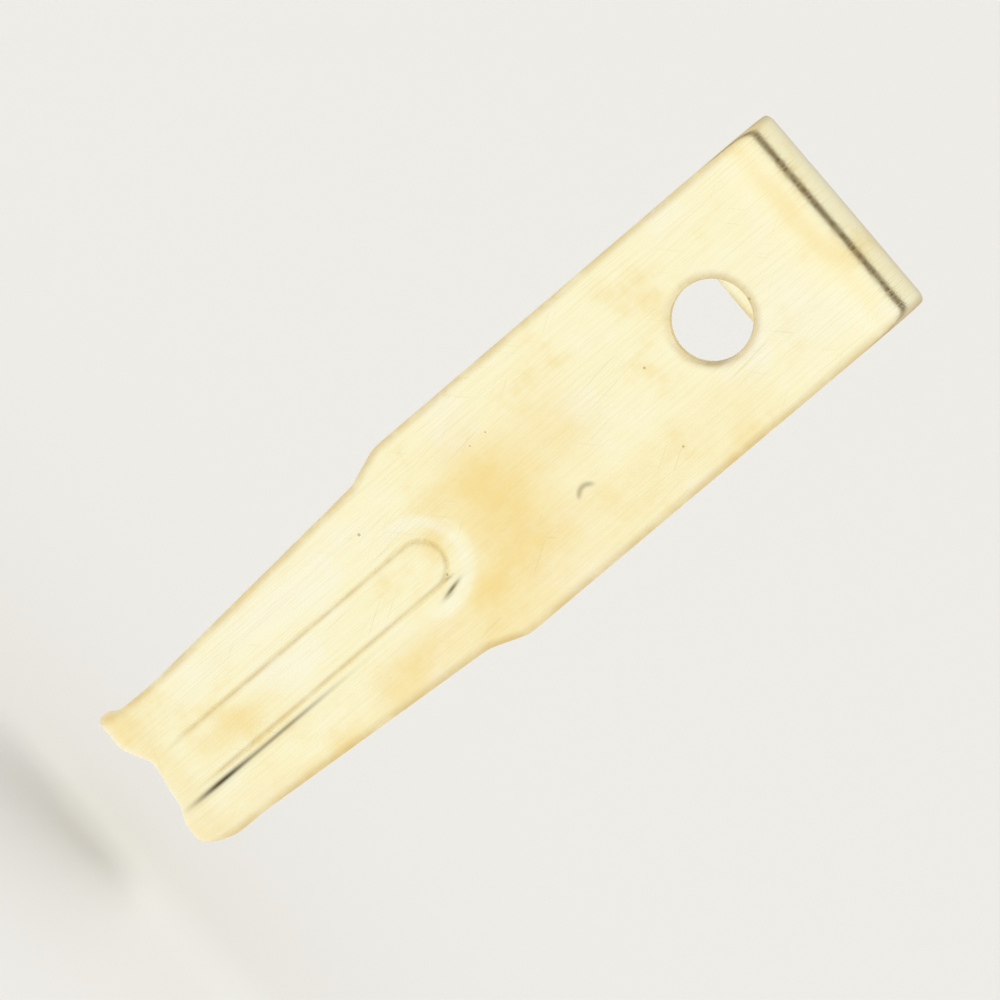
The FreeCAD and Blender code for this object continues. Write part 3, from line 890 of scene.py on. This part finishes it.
def brassed_steel():
    """The hook's material, which reads the flat place, the wear and painted shade, and the tone and
    painted light of each point.
    """
    material = bpy.data.materials.new("brassed_steel")
    material.use_nodes = True
    tree = material.node_tree
    shader = tree.nodes["Principled BSDF"]
    shader.inputs["Metallic"].default_value = 1.0

    place = add_node(tree, "Attribute", attribute_name="flat").outputs["Vector"]
    wear_and_shade = add_node(tree, "Attribute", attribute_name="wear_and_shade").outputs["Vector"]
    tone_and_painted_light = add_node(tree, "Attribute", attribute_name="tone_and_painted_light").outputs["Fac"]
    edge_wear_and_rib_shade, bend_wear, painted_shade = add_node(tree, "SeparateXYZ", (wear_and_shade,)).outputs
    patterns = {}
    for name, (size, detail, rough) in PATTERNS.items():
        inputs = {"Vector": place, "Scale": per_mm(size), "Detail": detail, "Roughness": rough}
        patterns[name] = add_node(tree, "TexNoise", inputs)
    grain = streaks(tree, place, GRAIN_TURN, GRAIN_LENGTH, **GRAIN_FORM)
    scratched = hairlines(tree, place, patterns["rubbing"])
    speck = specks(tree, place)
    hollow, crescent = dent(tree, place)

    # Colour, from the bottom up: each tint, and the share of it that covers what lies below

    clouds, blotches = patterns["clouds"], patterns["blotches"]
    breaking = add_node(tree, "MapRange", (blotches, *BROKEN_TONE), **EASED)
    broken_tone_and_light = add_node(tree, "Math", (tone_and_painted_light, breaking), operation="MULTIPLY")
    patchy = add_node(tree, "MapRange", (blotches, *PATCHY_EDGE), **EASED)
    colour = BRASS
    for tint, share in (
        # Clouds: partly random tone, partly painted reflection.
        (DEEP_BRASS, add_node(tree, "MapRange", (clouds, *DEEP_CLOUDS), **EASED)),
        (PALE_BRASS, add_node(tree, "MapRange", (clouds, *PALE_CLOUDS), **EASED)),
        # The tone: painted shade under the top bend and deeper patches, then painted highlights.
        (DEEP_BRASS, add_node(tree, "MapRange", (broken_tone_and_light, *DEEP_TONE_AND_SHADE), **EASED)),
        (PALE_BRASS, add_node(tree, "MapRange", (broken_tone_and_light, *PAINTED_HIGHLIGHT_RANGE), **EASED)),
        (DEEP_BRASS, add_node(tree, "MapRange", (grain, *DEEP_GRAIN), **EASED)),
        (DEEP_BRASS, add_node(tree, "Math", (bend_wear, BEND_TINT), operation="MULTIPLY")),
        # Rubbed edges, with the painted shade along the rib's corners.
        (OLD_BRASS_AND_RIB_SHADE, add_node(tree, "Math", (edge_wear_and_rib_shade, patchy), operation="MULTIPLY")),
        (OLD_BRASS_AND_RIB_SHADE, add_node(tree, "Math", (scratched, HAIRLINE_TINT), operation="MULTIPLY")),
        (OLD_BRASS_AND_RIB_SHADE, add_node(tree, "Math", (speck, SPECK_TINT), operation="MULTIPLY")),
        # Painted shade: the dent's crescent, the dark lines and dash beside the rib, and one side of
        # the hole's rim.
        (SHADE_BROWN, add_node(tree, "Math", (crescent, CRESCENT_TINT, painted_shade), operation="MULTIPLY_ADD")),
    ):
        inputs = {0: share, 6: colour, 7: tint}
        colour = add_node(tree, "Mix", inputs, data_type="RGBA").outputs[2]
    tree.links.new(colour, shader.inputs["Base Color"])

    # Roughness: the grain varies it, and scratches, rubbed edges with the rib's painted shade, and the
    # painted shade marks add to it

    gloss = add_node(tree, "MapRange", (grain, *GRAIN_GLOSS), **EASED)
    for dull, share in (
        (scratched, HAIRLINE_DULLING),
        (edge_wear_and_rib_shade, EDGE_DULLING),
        (painted_shade, PAINTED_SHADE_DULLING),
    ):
        gloss = add_node(tree, "Math", (dull, share, gloss), operation="MULTIPLY_ADD")
    tree.links.new(gloss.outputs[0], shader.inputs["Roughness"])

    # Relief: each height pattern stands on the ones before it

    cuts = add_node(tree, "Math", (speck, SPECK_TO_HAIRLINE, scratched), operation="MULTIPLY_ADD")
    relief = {}
    for height, rise in (
        (patterns["pebbles"], PEBBLE_RISE),
        (hollow, -DENT_SINK),
        (patterns["skin"], SKIN_RISE),
        (grain, GRAIN_RISE),
        (cuts, -HAIRLINE_SINK),
    ):
        inputs = {"Strength": 1.0, "Distance": rise * MM, "Height": height, **relief}
        relief = {"Normal": add_node(tree, "Bump", inputs)}
    tree.links.new(relief["Normal"].outputs[0], shader.inputs["Normal"])
    return material


hook_mesh.materials.append(brassed_steel())
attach(hook, "root")
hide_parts(NODE)

# Stage: a floor of matt paper, which stays plain white where the metal mirrors it

FLOOR_HALF = 3000.0
FLOOR_DROP = 2.0
PAPER = linear("#E7E6E3")
PAPER_ROUGHNESS = 0.9
STUDIO_WHITE = linear("#FFFFFE")

floor_rise = (BASE_RISE - FLOOR_DROP) * MM
floor_reach = FLOOR_HALF * MM
floor_corners = [
    (x * floor_reach, y * floor_reach, floor_rise) for x, y in ((-1, -1), (1, -1), (1, 1), (-1, 1))
]
floor_mesh = bpy.data.meshes.new("floor")
floor_mesh.from_pydata(floor_corners, [], [(0, 1, 2, 3)])
floor = bpy.data.objects.new("floor", floor_mesh)
bpy.context.collection.objects.link(floor)

paper = bpy.data.materials.new("matt_paper")
paper.use_nodes = True
paper_tree = paper.node_tree
matt = paper_tree.nodes["Principled BSDF"]
matt.inputs["Base Color"].default_value = PAPER
matt.inputs["Roughness"].default_value = PAPER_ROUGHNESS
mirrored = add_node(paper_tree, "LightPath").outputs["Is Glossy Ray"]
glow = add_node(paper_tree, "Emission", {"Color": STUDIO_WHITE})
paper_face = add_node(paper_tree, "MixShader", (mirrored, matt, glow))
paper_output = paper_tree.nodes["Material Output"]
paper_tree.links.new(paper_face.outputs[0], paper_output.inputs["Surface"])
floor_mesh.materials.append(paper)

# Studio: white all round, with a dark band that the top bend shows as its dark line

# The band runs over, beside and under the hook, a little away from the wall, and is darkest
# overhead. The side away from the wall is dimmer, most so low down, and the camera sees a plain
# backdrop. The ranges are of a direction's parts, each as (from, to, becomes, becomes).

BAND_MIDDLE = -0.08
BAND_EDGE = (0.08, 0.17, 1.0, 0.0)
BAND_HEADING = (0.15, 0.0, 0.99)
BAND_RISE = (-0.4, 0.9, 0.2, 1.0)
BAND_COLOUR = linear("#655235")
FAR_SIDE_DIM = (-0.7, 0.3, 1.0, 0.0)
LOW_DIM = (0.0, 0.9, 1.0, 0.35)
DIM_WHITE = linear("#CECBC5")
WALL = linear("#F1F0EC")

world = bpy.data.worlds.new("studio")
bpy.context.scene.world = world
world.use_nodes = True
sky = world.node_tree
direction = add_node(sky, "TexCoord").outputs["Generated"]
_, toward_wall, upward = add_node(sky, "SeparateXYZ", (direction,)).outputs
past_band = add_node(sky, "Math", (toward_wall, BAND_MIDDLE), operation="SUBTRACT")
off_band = add_node(sky, "Math", (past_band,), operation="ABSOLUTE")
in_band = add_node(sky, "MapRange", (off_band, *BAND_EDGE), **EASED)
overhead = add_node(sky, "VectorMath", (direction, BAND_HEADING), operation="DOT_PRODUCT")
band_strength = add_node(sky, "MapRange", (overhead.outputs["Value"], *BAND_RISE))
dark = add_node(sky, "Math", (in_band, band_strength), operation="MULTIPLY")
far_side = add_node(sky, "MapRange", (toward_wall, *FAR_SIDE_DIM), **EASED)
low = add_node(sky, "MapRange", (upward, *LOW_DIM), **EASED)
dim = add_node(sky, "Math", (far_side, low), operation="MULTIPLY")
seen = add_node(sky, "LightPath").outputs["Is Camera Ray"]
studio = STUDIO_WHITE
for tint, share in ((DIM_WHITE, dim), (BAND_COLOUR, dark), (WALL, seen)):
    studio = add_node(sky, "Mix", {0: share, 6: studio, 7: tint}, data_type="RGBA").outputs[2]
background = sky.nodes["Background"]
sky.links.new(studio, background.inputs["Color"])
background.inputs["Strength"].default_value = 1.0

# Lamp: one soft light from high up on the side away from the wall, which the metal doesn't mirror

LAMP_ENERGY = 1.0
LAMP_SPAN = 35.0
LAMP_HEADING = Vector((0.35, 0.45, -1.0))

lamp = bpy.data.lights.new("key", "SUN")
lamp.energy = LAMP_ENERGY
lamp.angle = math.radians(LAMP_SPAN)
key = bpy.data.objects.new("key", lamp)
key.visible_glossy = False
key.rotation_euler = LAMP_HEADING.to_track_quat("-Z", "Y").to_euler()
bpy.context.collection.objects.link(key)

# Camera: it faces the wall side from a little above, rolled so that the hook lies aslant

TILT_UP = math.radians(10.2)
ROLL = math.radians(40.3)
LENS = 200.0
SENSOR = 36.0
FRAME_WIDTH = 27.0
AIM_POINT = Vector((0.0, -2.0, -7.8))
CLIP_START_SHARE = 0.05
CLIP_END_SHARE = 100

back = Vector((0.0, math.cos(TILT_UP), math.sin(TILT_UP)))
up_strip = (Vector((0, 0, 1)) - back * back.z).normalized()
right_strip = up_strip.cross(back)
camera_right = up_strip * math.cos(ROLL) + right_strip * math.sin(ROLL)
camera_up = up_strip * math.sin(ROLL) - right_strip * math.cos(ROLL)
turning = Matrix((camera_right, camera_up, back)).transposed().to_4x4()
distance = FRAME_WIDTH * LENS / SENSOR * MM
camera_data = bpy.data.cameras.new("camera")
camera_data.lens = LENS
camera_data.sensor_width = SENSOR
camera_data.clip_start = distance * CLIP_START_SHARE
camera_data.clip_end = distance * CLIP_END_SHARE
camera = bpy.data.objects.new("camera", camera_data)
camera.matrix_world = Matrix.Translation(AIM_POINT * MM + back * distance) @ turning
bpy.context.collection.objects.link(camera)
bpy.context.scene.camera = camera

bpy.context.scene.view_settings.view_transform = "Standard"
